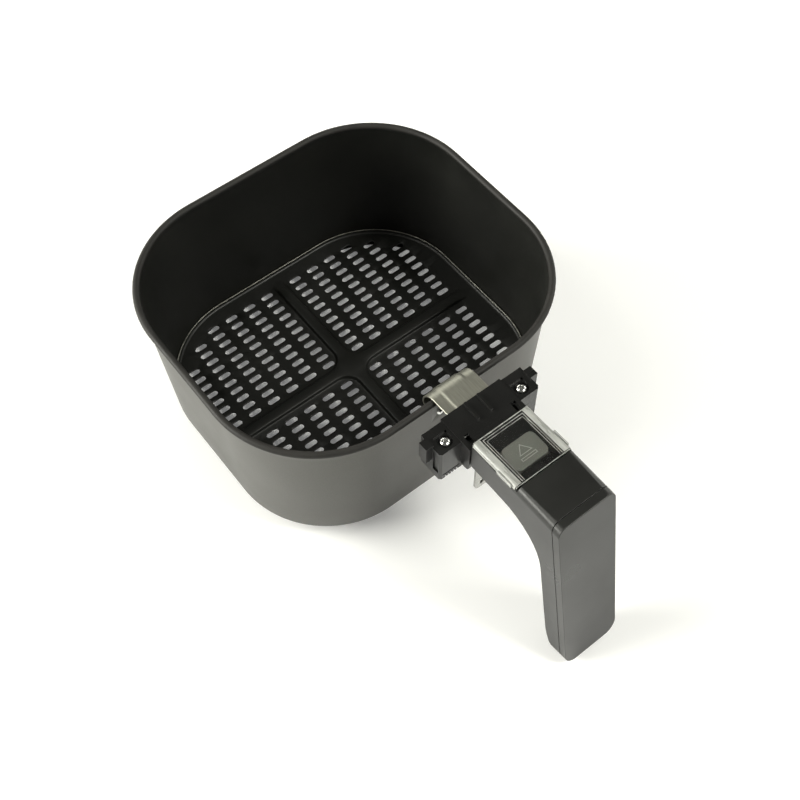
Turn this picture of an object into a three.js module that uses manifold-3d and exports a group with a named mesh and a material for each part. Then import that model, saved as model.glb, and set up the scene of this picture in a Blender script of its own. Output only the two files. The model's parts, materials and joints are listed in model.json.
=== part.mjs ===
// The removable basket of an air fryer, with its perforated floor and its release handle.
// Millimetres, +Z up. Every piece is built in the basket's own level frame: x runs across the
// basket, y runs away from the handle, z rises from the plane of the foot, and the origin is at
// the basket's centre. The whole assembly is then tipped to stand the way it does on a table,
// on the end of its handle and the far edge of its foot, and centred over its footprint.
import * as THREE from "three";
import { mergeVertices } from "three/addons/utils/BufferGeometryUtils.js";
import Module from "manifold-3d";

const wasm = await Module();
wasm.setup();

// ---- Driving dimensions -------------------------------------------------------------------

const SHEET = 1.0; // basket metal
const GAP = 0.3; // between pieces that touch
const PIN_SIDES = 12; // facets round a screw, pin or rivet

// Basket: half sizes and corner radius of the outer wall at the foot and under the rim.
const FOOT = { halfX: 107.9, halfY: 97.5, corner: 66.2 };
const BROW = { halfX: 111.9, halfY: 101.7, corner: 68.5, z: 102.5 };
const CORNER_STEPS = 8;
const FOOT_ROUNDING = 5;
const FOOT_FLANGE = 2.5;
const RIM = { height: 107.3, reach: 3.1, roll: 2.2 };

// Floor: a pressed tray with an upturned edge and four quarters of slots round a raised cross.
const FLOOR_TOP = 7.5;
const FLOOR_BEND = 3;
const SLOT = { length: 8.9, width: 3.6, firstX: 12.0, pitchX: 14.87, firstY: 10.1, pitchY: 7.24 };
const SLOT_ROWS = [11, 11, 11, 11, 10, 8]; // rows in each column, from the centre outwards
const CROSS = { crest: 1.75, foot: 5, height: 2, reachX: 99, reachY: 89 };

// Strap: a steel hook over the rim that carries the handle.
const STRAP = { halfWidth: 15, thick: 1.2, beadHalf: 8.3, bead: 1.0, hookRadius: 11 };
const HOOK = { y: -104.8, z: 97.9 }; // centre of the bend over the rim
const STRAP_PLATE = { halfX: 33.2, yNear: -121.3, yFar: -131.7, top: 107.6 };
const RIVET = { x: 7.8, z: 88, head: 2.4, shank: 1.8, height: 1.2 };

// Handle base: the plastic block behind the pan's wall, with two wings.
const BASE = { halfX: 21, yNear: -117, yFar: -142, top: 113.3, bottom: 95.8 };
const WING = { halfX: 35.4, yNear: -118, yFar: -134.8, top: 112.6, bottom: 85, chamfer: 1.4 };
const WING_RECESS = { depth: 1, yNear: -128.4, yFar: -133, top: 109, bottom: 91 };
const WING_GROOVE = { inner: 21.5, outer: 33.5, bottom: 88.6, top: 89.6, depth: 0.9 };
const TEETH = { first: 22.5, pitch: 2, count: 5, width: 0.9, depth: 0.7 };
const TAB = { inner: 34.5, outer: 39.7, yNear: -121.6, yFar: -127.8, top: 114.2, bottom: 100 };
const FIN = { x: 4.6, half: 0.75, yNear: -117.5, yFar: -130, height: 1.8 };
const BASE_CEILING = 108.2; // top of the hollow under the base
const WING_HOLLOW = { halfX: 33.6, yNear: -120.8, yFar: -132 };
const CORE_HOLLOW = { halfX: 17, yFar: -139.5 };
const PIN_CHEEK = { outer: 20.5, radius: 3.5 }; // carries one end of the latch's pin
const SCREW_SEAT = 110;
const BASE_SCREW = { x: 27.3, y: -128.7 };
const RUNNER = { inner: 15.4, outer: 17.1, bottom: 109.8, top: 111.5 };
const WINDOW = { outer: 18.6, yNear: -133, yFar: -139 }; // openings over the runners' channels
const CHANNEL_FLOOR = { inner: 14.6, outer: 17.9, bottom: 106 }; // closes the channels below them

// Handle: an arm that turns down into a leaning grip.
const HANDLE_HALF = 20;
const HANDLE_TOP = 121.2;
const TOP_ROUNDING = 5.5;
const ARM_START = -142.4;
const ARM_BOTTOM = 95.8;
const WINDOW_END = -178;
const FACE_TOP_Y = -210; // top edge of the grip's front face
const GRIP_LEAN = THREE.MathUtils.degToRad(11.35);
const GRIP_LENGTH = 141;
const GRIP_THICK = 17;
const GRIP_CORNER = 10;
const GRIP_HEEL = { along: 27, deep: 11 }; // how far the lower end's back curves in
const ARM_BEND = 35;
const CAP_THICK = 5.2;
const SHELL = 2.5; // moulded wall

// Release: sliding guard, button, lever and their springs.
const COVER = { yNear: -142, yFar: -177, topNear: 118.6, topFar: 120.4, halfX: 19.6, plate: 1.4 };
const COVER_SKIRT = 2.4;
const COVER_TRAVEL = 25;
const TRAY = { halfX: 14.9, yNear: -143, yFar: -176.5, top: 115.3, plate: 2 };
const BUTTON = { halfX: 11.4, halfY: 8.1, y: -162, top: 117.3, flange: 1.1, underside: 111.9 };
const BUTTON_CORNER = 3.4;
const STEM = { radius: 2, bottom: 103.3 };
const BRIDGE = { bottom: 103.4, top: 104.9, halfY: 5 };
const PIVOT = { y: -138, z: 92 };
const LEVER = { halfX: 15.3, thick: 1.5, tip: 60.6, armHalf: 4.5, armTop: 102.5, armEnd: -165 };
const PIN = { radius: 1.5, halfLength: 19.5 };
const LUG = { inner: 7.5, outer: 16.5, yFar: -156, bottom: 98.6, top: 101.5, screwX: 12, screwY: -150 };

// ---- Directions and small tools -----------------------------------------------------------

const X = new THREE.Vector3(1, 0, 0);
const Y = new THREE.Vector3(0, 1, 0);
const Z = new THREE.Vector3(0, 0, 1);
const DOWN_FACE = new THREE.Vector3(0, -Math.sin(GRIP_LEAN), -Math.cos(GRIP_LEAN));
const INTO_GRIP = X.clone().cross(DOWN_FACE);
const FACE_TOP = new THREE.Vector3(0, FACE_TOP_Y, HANDLE_TOP);

// A point of the grip: `along` down its front face and `deep` behind that face.
function gripPoint(along, deep) {
  return FACE_TOP.clone().addScaledVector(DOWN_FACE, along).addScaledVector(INTO_GRIP, deep);
}

function gripCorner(along, deep, radius = 0) {
  const point = gripPoint(along, deep);
  return [point.y, point.z, radius];
}

// Where a plane `deep` behind the front face meets the height z.
function gripY(z, deep) {
  const along = (FACE_TOP.z - z + deep * INTO_GRIP.z) / Math.cos(GRIP_LEAN);
  return gripPoint(along, deep).y;
}

function solid(geometry) {
  const bare = geometry.clone();
  bare.deleteAttribute("normal");
  bare.deleteAttribute("uv");
  const merged = mergeVertices(bare, 1e-4);
  const vertProperties = merged.attributes.position.array;
  const triVerts = new Uint32Array(merged.index.array);
  return new wasm.Manifold(new wasm.Mesh({ numProp: 3, vertProperties, triVerts }));
}

function geometryOf(body) {
  const mesh = body.getMesh();
  const geometry = new THREE.BufferGeometry();
  geometry.setAttribute("position", new THREE.BufferAttribute(mesh.vertProperties, 3));
  geometry.setIndex(new THREE.BufferAttribute(mesh.triVerts, 1));
  const faceted = geometry.toNonIndexed();
  faceted.computeVertexNormals();
  return faceted;
}

// Corner points [u, v, radius] joined into a closed outline, each corner rounded by an arc.
function rounded(corners, steps = 6) {
  const points = [];
  corners.forEach(([u, v, radius = 0], i) => {
    const corner = new THREE.Vector2(u, v);
    if (radius === 0) {
      points.push(corner);
      return;
    }
    const before = corners[(i + corners.length - 1) % corners.length];
    const after = corners[(i + 1) % corners.length];
    const back = new THREE.Vector2(before[0], before[1]).sub(corner).normalize();
    const on = new THREE.Vector2(after[0], after[1]).sub(corner).normalize();
    const half = Math.acos(THREE.MathUtils.clamp(back.dot(on), -1, 1)) / 2;
    const middle = back.clone().add(on).normalize();
    const centre = corner.clone().addScaledVector(middle, radius / Math.sin(half));
    const start = corner.clone().addScaledVector(back, radius / Math.tan(half)).sub(centre);
    const end = corner.clone().addScaledVector(on, radius / Math.tan(half)).sub(centre);
    const turn = Math.atan2(start.cross(end), start.dot(end));
    for (let k = 0; k <= steps; k++) {
      const arm = start.clone().rotateAround(new THREE.Vector2(), (turn * k) / steps);
      points.push(centre.clone().add(arm));
    }
  });
  return points;
}

// A prism: the outline lies in directions u and v, and runs `depth` along their cross product.
function prism(points, depth, u, v, origin = new THREE.Vector3(), holes = []) {
  const shape = new THREE.Shape(points);
  shape.holes = holes.map((hole) => new THREE.Path(hole));
  const geometry = new THREE.ExtrudeGeometry(shape, { depth, bevelEnabled: false });
  const frame = new THREE.Matrix4().makeBasis(u, v, u.clone().cross(v)).setPosition(origin);
  return solid(geometry.applyMatrix4(frame));
}

// A side-view profile [y, z, radius] that spans x from low to high.
function across(corners, low, high, steps) {
  return prism(rounded(corners, steps), high - low, Y, Z, new THREE.Vector3(low, 0, 0));
}

function block([x0, x1], [y0, y1], [z0, z1]) {
  const geometry = new THREE.BoxGeometry(x1 - x0, y1 - y0, z1 - z0);
  return solid(geometry.translate((x0 + x1) / 2, (y0 + y1) / 2, (z0 + z1) / 2));
}

function joined(...bodies) {
  return bodies.reduce((whole, body) => whole.add(body));
}

// A turned piece: [radius, height] profile round `axis`, with height 0 at `at`.
function turned(profile, axis, at, sides = PIN_SIDES) {
  const points = profile.map(([radius, height]) => new THREE.Vector2(radius, height));
  const geometry = new THREE.LatheGeometry(points, sides);
  geometry.applyQuaternion(new THREE.Quaternion().setFromUnitVectors(Y, axis));
  return solid(geometry.translate(at.x, at.y, at.z));
}

function rod(radius, length, axis, at, sides) {
  return turned([[0, 0], [radius, 0], [radius, length], [0, length]], axis, at, sides);
}

// ---- Basket -------------------------------------------------------------------------------

// The rounded rectangle of the outer wall at height z, grown outwards by `grow`.
function wallOutline(z, grow) {
  const share = z / BROW.z;
  const mix = (key) => THREE.MathUtils.lerp(FOOT[key], BROW[key], share) + grow;
  return { halfX: mix("halfX"), halfY: mix("halfY"), corner: mix("corner") };
}

function wallRing(z, grow) {
  const { halfX, halfY, corner } = wallOutline(z, grow);
  const ring = [];
  for (let quarter = 0; quarter < 4; quarter++) {
    const sideX = quarter === 0 || quarter === 3 ? 1 : -1;
    const sideY = quarter < 2 ? 1 : -1;
    for (let k = 0; k <= CORNER_STEPS; k++) {
      const angle = (quarter + k / CORNER_STEPS) * (Math.PI / 2);
      ring.push([
        sideX * (halfX - corner) + corner * Math.cos(angle),
        sideY * (halfY - corner) + corner * Math.sin(angle),
        z,
      ]);
    }
  }
  return ring;
}

// A closed ring-shaped sheet: section points [grow, z], in order round the section.
function wallLoft(section) {
  const rings = section.map(([grow, z]) => wallRing(z, grow));
  const count = rings[0].length;
  const index = [];
  rings.forEach((_, level) => {
    const next = (level + 1) % rings.length;
    for (let k = 0; k < count; k++) {
      const a = level * count + k;
      const b = level * count + ((k + 1) % count);
      const c = next * count + k;
      const d = next * count + ((k + 1) % count);
      index.push(a, b, d, a, d, c);
    }
  });
  const geometry = new THREE.BufferGeometry();
  const positions = new Float32Array(rings.flat(2));
  geometry.setAttribute("position", new THREE.BufferAttribute(positions, 3));
  geometry.setIndex(index);
  return solid(geometry);
}

function quarterTurn(centre, radius, from, to, steps) {
  return Array.from({ length: steps + 1 }, (_, k) => {
    const angle = THREE.MathUtils.degToRad(from + ((to - from) * k) / steps);
    return [centre[0] + radius * Math.cos(angle), centre[1] + radius * Math.sin(angle)];
  });
}

function rivetHoles() {
  const start = (x) => new THREE.Vector3(x, -FOOT.halfY - 12, RIVET.z);
  const radius = RIVET.shank + GAP;
  return joined(...[-1, 1].map((side) => rod(radius, 24, Y, start(side * RIVET.x))));
}

function basketBody() {
  const centre = [-FOOT_ROUNDING, FOOT_ROUNDING];
  const roll = [RIM.reach - RIM.roll, RIM.height - RIM.roll];
  const section = [
    [-FOOT_ROUNDING - FOOT_FLANGE, 0],
    ...quarterTurn(centre, FOOT_ROUNDING, -90, 0, 3),
    [0, RIM.height - 2 * RIM.roll],
    ...quarterTurn(roll, RIM.roll, -60, 170, 6),
    [-SHEET, RIM.height - 2 * RIM.roll],
    ...quarterTurn(centre, FOOT_ROUNDING - SHEET, 0, -90, 3),
    [-FOOT_ROUNDING - FOOT_FLANGE, SHEET],
  ];
  return wallLoft(section).subtract(rivetHoles());
}

function slotOutline(x, y) {
  const end = SLOT.length / 2;
  const shoulder = end - SLOT.width * 0.35;
  const side = SLOT.width / 2;
  const corners = [[end, 0], [shoulder, side], [-shoulder, side]];
  const rest = [[-end, 0], [-shoulder, -side], [shoulder, -side]];
  return [...corners, ...rest].map(([u, v]) => new THREE.Vector2(x + u, y + v));
}

function slotOutlines() {
  const slots = [];
  for (const sideX of [-1, 1]) {
    for (const sideY of [-1, 1]) {
      SLOT_ROWS.forEach((rows, column) => {
        for (let row = 0; row < rows; row++) {
          const x = sideX * (SLOT.firstX + column * SLOT.pitchX);
          const y = sideY * (SLOT.firstY + row * SLOT.pitchY);
          slots.push(slotOutline(x, y));
        }
      });
    }
  }
  return slots;
}

function basketFloor() {
  const edge = -SHEET - GAP;
  const bend = [edge - FLOOR_BEND, FLOOR_TOP - SHEET + FLOOR_BEND];
  const rim = [
    ...quarterTurn(bend, FLOOR_BEND, -90, 0, 4),
    ...quarterTurn(bend, FLOOR_BEND - SHEET, 0, -90, 3),
  ];
  const outline = wallRing(FLOOR_TOP, bend[0] - 0.01).map(([x, y]) => new THREE.Vector2(x, y));
  const under = new THREE.Vector3(0, 0, FLOOR_TOP - SHEET);
  const plate = prism(outline, SHEET, X, Y, under, slotOutlines());
  const ridge = [
    [-CROSS.foot, FLOOR_TOP - SHEET / 2],
    [CROSS.foot, FLOOR_TOP - SHEET / 2],
    [CROSS.foot, FLOOR_TOP],
    [CROSS.crest, FLOOR_TOP + CROSS.height],
    [-CROSS.crest, FLOOR_TOP + CROSS.height],
    [-CROSS.foot, FLOOR_TOP],
  ].map(([u, v]) => new THREE.Vector2(u, v));
  const alongX = prism(ridge, 2 * CROSS.reachX, Y, Z, new THREE.Vector3(-CROSS.reachX, 0, 0));
  const alongY = prism(ridge, 2 * CROSS.reachY, X, Z, new THREE.Vector3(0, CROSS.reachY, 0));
  return joined(wallLoft(rim), plate, alongX, alongY);
}

// ---- Strap over the rim -------------------------------------------------------------------

// The strap's side view, `rise` above its own surface: out of the base, over the rim, down the
// inside and back to the wall, where the rivets hold it.
function strapProfile(rise) {
  const outer = STRAP.hookRadius + rise;
  const inner = STRAP.hookRadius - STRAP.thick;
  const centre = [HOOK.y, HOOK.z];
  const foot = wallInnerY(RIVET.z);
  const tail = RIVET.z - 6;
  const over = [...quarterTurn(centre, outer, 90, 0, 6), [foot + 1.6 + rise, RIVET.z + 4]];
  const under = [[foot + 0.4, RIVET.z + 3.6], ...quarterTurn(centre, inner, -6, 90, 6)];
  const socket = STRAP_PLATE.yNear + 0.8;
  return [
    [socket, 110.2 + rise],
    ...over,
    [foot + 1.6 + rise, tail],
    [foot + 0.4, tail],
    ...under,
    [socket, 110.2 - STRAP.thick],
  ].map(([y, z]) => new THREE.Vector2(y, z));
}

function wallInnerY(z) {
  return -(wallOutline(z, -SHEET).halfY);
}

function rimStrap() {
  const side = (half, rise) =>
    prism(strapProfile(rise), 2 * half, Y, Z, new THREE.Vector3(-half, 0, 0));
  const { halfX, yNear, yFar, top } = STRAP_PLATE;
  const low = top - STRAP.thick;
  const step = across(
    [[yNear + 0.8, 110.2], [yNear - 2, 110.2], [yNear - 4, top], [yNear - 4, low],
      [yNear - 3, low], [yNear - 1, 110.2 - STRAP.thick], [yNear + 0.8, 110.2 - STRAP.thick]],
    -STRAP.halfWidth,
    STRAP.halfWidth,
  );
  const plate = block([-halfX, halfX], [yFar, yNear - 3.2], [low, top]);
  const holes = [-1, 1].map((s) =>
    rod(1.9, 9, Z, new THREE.Vector3(s * BASE_SCREW.x, BASE_SCREW.y, 101)));
  return joined(side(STRAP.halfWidth, 0), side(STRAP.beadHalf, STRAP.bead), step, plate)
    .subtract(joined(...holes))
    .subtract(rivetHoles());
}

// A rivet through strap and wall: domed head outside, closed head inside.
function strapRivet(side) {
  const outside = -wallOutline(RIVET.z, GAP).halfY;
  const inside = wallInnerY(RIVET.z) + 1.6 + STRAP.bead + GAP;
  const length = inside - outside;
  const profile = [
    [0, -RIVET.height], [RIVET.head * 0.7, -RIVET.height * 0.8], [RIVET.head, 0],
    [RIVET.shank, 0], [RIVET.shank, length], [RIVET.head, length],
    [RIVET.head * 0.8, length + 0.9], [0, length + 1],
  ];
  return turned(profile, Y, new THREE.Vector3(side * RIVET.x, outside, RIVET.z));
}

// ---- Screws -------------------------------------------------------------------------------

// A pan-head cross-slot screw: `at` is under the head, `axis` points out of the head.
function screw(at, axis, length) {
  const profile = [
    [0, -length], [0.7, -length], [1.5, -length + 1.5], [1.5, 0], [3.25, 0],
    [3.25, 1.1], [2.5, 2.1], [1.2, 2.4], [0, 2.4],
  ];
  const cross = joined(
    block([-1.9, 1.9], [1.2, 3], [-0.35, 0.35]),
    block([-0.35, 0.35], [1.2, 3], [-1.9, 1.9]),
  );
  const slotted = turned(profile, Y, new THREE.Vector3()).subtract(cross);
  const geometry = geometryOf(slotted);
  geometry.applyQuaternion(new THREE.Quaternion().setFromUnitVectors(Y, axis));
  return solid(geometry.translate(at.x, at.y, at.z));
}

function baseScrew(side) {
  return screw(new THREE.Vector3(side * BASE_SCREW.x, BASE_SCREW.y, SCREW_SEAT + GAP), Z, 11);
}

function armScrew(side) {
  const seat = ARM_BOTTOM - GAP;
  return screw(new THREE.Vector3(side * LUG.screwX, LUG.screwY, seat), Z.clone().negate(), 5);
}

const CAP_SCREWS = { upper: 62, lower: 108 }; // distance down the grip's face

function capScrew(along) {
  return screw(gripPoint(along, GRIP_THICK - SHELL + 0.8), INTO_GRIP, 7);
}

// ---- Handle base --------------------------------------------------------------------------

// The span of x from `inner` to `outer` on one side of the middle.
function onSide(side, inner, outer) {
  return side > 0 ? [inner, outer] : [-outer, -inner];
}

function bothSides(make) {
  return joined(make(-1), make(1));
}

function baseOutside() {
  const { halfX, yNear, yFar, top, bottom, chamfer } = WING;
  const plan = [
    [-halfX, yNear], [-halfX, yFar + chamfer], [-halfX + chamfer, yFar],
    [halfX - chamfer, yFar], [halfX, yFar + chamfer], [halfX, yNear],
  ].map(([x, y]) => new THREE.Vector2(x, y));
  const wings = prism(plan, top - bottom, X, Y, new THREE.Vector3(0, 0, bottom));
  const core = block([-BASE.halfX, BASE.halfX], [BASE.yFar, BASE.yNear], [BASE.bottom, BASE.top]);
  const tabs = bothSides((s) =>
    block(onSide(s, TAB.inner, TAB.outer), [TAB.yFar, TAB.yNear], [TAB.bottom, TAB.top]));
  const fins = bothSides((s) => block(
    onSide(s, FIN.x - FIN.half, FIN.x + FIN.half),
    [FIN.yFar, FIN.yNear],
    [BASE.top - 1, BASE.top + FIN.height],
  ));
  const lugs = bothSides((s) =>
    block(onSide(s, LUG.inner, LUG.outer), [LUG.yFar, BASE.yFar + 1], [LUG.bottom, LUG.top]));
  return joined(wings, core, tabs, fins, lugs, bothSides(pinCheek));
}

// A round cheek under the base that carries one end of the latch's pin.
function pinCheek(side) {
  const { outer, radius } = PIN_CHEEK;
  const xs = onSide(side, CORE_HOLLOW.halfX, outer);
  const boss = rod(radius, xs[1] - xs[0], X, new THREE.Vector3(xs[0], PIVOT.y, PIVOT.z));
  return boss.add(block(xs, [PIVOT.y - radius, PIVOT.y + radius], [PIVOT.z, BASE.bottom + 1]));
}

// Space inside the base for the strap's plate, the latch and its arm, and the strap's way in.
function baseHollows() {
  const floor = WING.bottom - 1;
  const { halfX, yNear, yFar } = WING_HOLLOW;
  const core = [-CORE_HOLLOW.halfX, CORE_HOLLOW.halfX];
  const wingHollow = block([-halfX, halfX], [yFar, yNear], [floor, BASE_CEILING]);
  const coreHollow = block(core, [CORE_HOLLOW.yFar, yNear], [floor, BASE_CEILING]);
  const latchWay = block(core, [BASE.yFar - 1, CORE_HOLLOW.yFar + 0.5], [floor, BASE.bottom + 0.2]);
  const leverWay = block([-7, 7], [BASE.yFar - 20, CORE_HOLLOW.yFar + 0.5], [95, BASE_CEILING]);
  const strapWay = block([-15.5, 15.5], [-126, BASE.yNear + 1], [BASE_CEILING, 111.6]);
  return joined(wingHollow, coreHollow, latchWay, leverWay, strapWay);
}

// A hole for the screw's shank, a round seat for its head and a step beside it.
function screwPocket(side) {
  const { x, y } = BASE_SCREW;
  const at = new THREE.Vector3(side * x, y, BASE_CEILING - 1);
  const seat = new THREE.Vector3(side * x, y, SCREW_SEAT);
  const step = block([side * x - 4.5, side * x + 4.5], [y, y + 5.2], [SCREW_SEAT + 1, 115]);
  return joined(rod(1.9, 6, Z, at), rod(4.3, 6, Z, seat), step);
}

// A channel for the cover's runner, deep enough for the runner at the end of its travel.
function runnerChannel(side) {
  const { inner, outer, bottom, top } = RUNNER;
  const sunk = bottom - COVER_TRAVEL * coverSlope() - 2 * GAP;
  const way = block(onSide(side, inner - GAP, outer + GAP), [BASE.yFar - 1, -118.5], [sunk, top + GAP]);
  const ends = [WINDOW.yFar, WINDOW.yNear];
  return way.add(block(onSide(side, inner - GAP, WINDOW.outer), ends, [top, BASE.top + 1]));
}

// The recess in a wing's side, and the groove and short teeth along the foot of its front.
function wingRelief(side) {
  const { depth, yNear, yFar, top, bottom } = WING_RECESS;
  const recess = block(onSide(side, WING.halfX - depth, WING.halfX + 1), [yFar, yNear], [bottom, top]);
  const groove = block(
    onSide(side, WING_GROOVE.inner, WING_GROOVE.outer),
    [WING.yFar - 1, WING.yFar + WING_GROOVE.depth],
    [WING_GROOVE.bottom, WING_GROOVE.top],
  );
  const deep = [WING.yFar - 1, WING.yFar + TEETH.depth];
  const tall = [WING.bottom - 1, WING_GROOVE.bottom - 0.5];
  const teeth = Array.from({ length: TEETH.count }, (_, k) => {
    const start = TEETH.first + k * TEETH.pitch;
    return block(onSide(side, start, start + TEETH.width), deep, tall);
  });
  return joined(recess, groove, ...teeth);
}

function basePockets() {
  const pinWay = rod(PIN.radius + GAP, 2 * PIN.halfLength + 2 * GAP, X,
    new THREE.Vector3(-PIN.halfLength - GAP, PIVOT.y, PIVOT.z));
  const lugHoles = bothSides((s) =>
    rod(1.8, 6, Z, new THREE.Vector3(s * LUG.screwX, LUG.screwY, LUG.bottom - 1)));
  return joined(
    bothSides(screwPocket), bothSides(runnerChannel), bothSides(wingRelief), pinWay, lugHoles);
}

function channelFloor(side) {
  const { inner, outer, bottom } = CHANNEL_FLOOR;
  const ys = [CORE_HOLLOW.yFar - 0.1, WING_HOLLOW.yFar];
  return block(onSide(side, inner, outer), ys, [bottom, BASE_CEILING + 0.1]);
}

function handleBase() {
  const shell = baseOutside().subtract(baseHollows());
  return shell.add(bothSides(channelFloor)).subtract(basePockets());
}

// ---- Handle body and cap ------------------------------------------------------------------

// The two corners that round off the lower end of the grip, seen from the front.
function gripEndCuts() {
  const cut = (side) => {
    const centre = [side * (HANDLE_HALF - GRIP_CORNER), GRIP_LENGTH - GRIP_CORNER];
    const arc = quarterTurn(centre, GRIP_CORNER, side > 0 ? 0 : 180, 90, 6);
    const points = [
      [side * (HANDLE_HALF + 1), centre[1]],
      ...arc,
      [centre[0], GRIP_LENGTH + 1],
      [side * (HANDLE_HALF + 1), GRIP_LENGTH + 1],
    ].map(([u, v]) => new THREE.Vector2(u, v));
    return prism(points, GRIP_THICK + 2, X, DOWN_FACE, gripPoint(0, -1));
  };
  return joined(cut(-1), cut(1));
}

// The arm's end view: a slab with rounded top edges, along the whole handle.
function topRounding() {
  const corners = [
    [-HANDLE_HALF, -40], [HANDLE_HALF, -40],
    [HANDLE_HALF, HANDLE_TOP, TOP_ROUNDING], [-HANDLE_HALF, HANDLE_TOP, TOP_ROUNDING],
  ];
  return prism(rounded(corners), 130, X, Z, new THREE.Vector3(0, -120, 0));
}

// The heel's side view, `inset` inside the surface: from the grip's end to its back.
function heelCurve(inset) {
  const { along, deep } = GRIP_HEEL;
  const steps = 8;
  return Array.from({ length: steps + 1 }, (_, k) => {
    const angle = (Math.PI / 2) * (1 - k / steps);
    return gripCorner(
      GRIP_LENGTH - along + (along - inset) * Math.sin(angle),
      GRIP_THICK - deep + (deep - inset) * Math.cos(angle),
    );
  });
}

function bodyOutside() {
  const seam = CAP_THICK + GAP / 2;
  return across(
    [
      [ARM_START, ARM_BOTTOM],
      [ARM_START, 115.8],
      [WINDOW_END, 117.6],
      [WINDOW_END, HANDLE_TOP - 0.3],
      [gripY(HANDLE_TOP, seam), HANDLE_TOP],
      gripCorner(GRIP_LENGTH, seam),
      ...heelCurve(0),
      [gripY(ARM_BOTTOM, GRIP_THICK), ARM_BOTTOM, ARM_BEND],
    ],
    -HANDLE_HALF,
    HANDLE_HALF,
    8,
  );
}

function bodyHollow() {
  const deep = GRIP_THICK - SHELL;
  const floor = ARM_BOTTOM + SHELL;
  return across(
    [
      [ARM_START + 1, floor],
      [ARM_START + 1, HANDLE_TOP + 2],
      [WINDOW_END + 1, HANDLE_TOP + 2],
      [WINDOW_END + 1, HANDLE_TOP - SHELL],
      gripCorner(SHELL + 1, CAP_THICK - 1),
      gripCorner(GRIP_LENGTH - SHELL, CAP_THICK - 1),
      ...heelCurve(SHELL),
      [gripY(floor, deep), floor, ARM_BEND + SHELL],
    ],
    -HANDLE_HALF + SHELL,
    HANDLE_HALF - SHELL,
    8,
  );
}

function handleBody() {
  const screwWays = Object.values(CAP_SCREWS).map((along) => joined(
    rod(1.8, 8, INTO_GRIP, gripPoint(along, GRIP_THICK - SHELL - 4)),
    rod(3.7, 8, INTO_GRIP, gripPoint(along, GRIP_THICK - SHELL + 0.5)),
  ));
  const armWays = [-1, 1].map((s) =>
    rod(1.8, 8, Z, new THREE.Vector3(s * LUG.screwX, LUG.screwY, ARM_BOTTOM - 2)));
  return bodyOutside()
    .intersect(topRounding())
    .subtract(bodyHollow())
    .subtract(gripEndCuts())
    .subtract(joined(...screwWays, ...armWays));
}

function gripCap() {
  const seam = CAP_THICK - GAP / 2;
  const slab = across(
    [
      [FACE_TOP_Y, HANDLE_TOP, 0.8],
      gripCorner(GRIP_LENGTH, 0, 0.8),
      gripCorner(GRIP_LENGTH, seam),
      [gripY(HANDLE_TOP, seam), HANDLE_TOP],
    ],
    -HANDLE_HALF,
    HANDLE_HALF,
    2,
  );
  const recess = prism(
    rounded([[-16, 8, 3], [16, 8, 3], [16, GRIP_LENGTH - 10, 8], [-16, GRIP_LENGTH - 10, 8]], 3),
    4, X, DOWN_FACE, gripPoint(0, SHELL),
  );
  const bosses = Object.values(CAP_SCREWS).map((along) =>
    rod(3, 7.5, INTO_GRIP, gripPoint(along, SHELL - 0.5)));
  const holes = Object.values(CAP_SCREWS).map((along) =>
    rod(1.8, 8, INTO_GRIP, gripPoint(along, SHELL + 1)));
  return slab
    .intersect(topRounding())
    .subtract(gripEndCuts())
    .subtract(recess)
    .add(joined(...bosses))
    .subtract(joined(...holes));
}

// ---- Release ------------------------------------------------------------------------------

function buttonTray() {
  const { halfX, yNear, yFar, top, plate } = TRAY;
  const sheet = block([-halfX, halfX], [yFar, yNear], [top - plate, top]);
  const legs = bothSides((s) =>
    block(onSide(s, halfX - 1.9, halfX), [-174, -158], [ARM_BOTTOM + SHELL + GAP, top - plate / 2]));
  const bridge = block(
    [-halfX + 1, halfX - 1],
    [BUTTON.y - BRIDGE.halfY, BUTTON.y + BRIDGE.halfY - 2],
    [BRIDGE.bottom, BRIDGE.top],
  );
  const hole = block(
    [-BUTTON.halfX - GAP, BUTTON.halfX + GAP],
    [BUTTON.y - BUTTON.halfY - GAP, BUTTON.y + BUTTON.halfY + GAP],
    [top - plate - 1, top + 1],
  );
  const stemWay = rod(STEM.radius + 0.5, 6, Z, new THREE.Vector3(0, BUTTON.y, BRIDGE.bottom - 2));
  return joined(sheet, legs, bridge).subtract(hole).subtract(stemWay);
}

function releaseButton() {
  const { halfX, halfY, y, top, flange, underside } = BUTTON;
  const r = BUTTON_CORNER;
  const plan = rounded(
    [[-halfX, y - halfY, r], [halfX, y - halfY, r], [halfX, y + halfY, r], [-halfX, y + halfY, r]],
    3,
  );
  const head = prism(plan, top - underside, X, Y, new THREE.Vector3(0, 0, underside));
  const collar = block(
    [-halfX - 1.2, halfX + 1.2], [y - halfY + 1, y + halfY - 1], [underside, underside + flange],
  );
  const stem = rod(STEM.radius, underside - STEM.bottom + 1, Z, new THREE.Vector3(0, y, STEM.bottom));
  return joined(head, collar, stem);
}

// A coil of round wire along an axis, from one end to the other.
function coil(radius, wire, turns, from, to) {
  const axis = to.clone().sub(from);
  const frame = new THREE.Quaternion().setFromUnitVectors(Z, axis.clone().normalize());
  const steps = turns * 10;
  const points = Array.from({ length: steps + 1 }, (_, k) => {
    const angle = (k / steps) * turns * 2 * Math.PI;
    const spot = new THREE.Vector3(radius * Math.cos(angle), radius * Math.sin(angle), 0);
    return spot.applyQuaternion(frame).add(from).addScaledVector(axis, k / steps);
  });
  const ring = quarterTurn([0, 0], wire, 0, 300, 5);
  const section = new THREE.Shape(ring.map(([u, v]) => new THREE.Vector2(u, v)));
  const extrudePath = new THREE.CatmullRomCurve3(points);
  return solid(new THREE.ExtrudeGeometry(section, { steps, extrudePath, bevelEnabled: false }));
}

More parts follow.
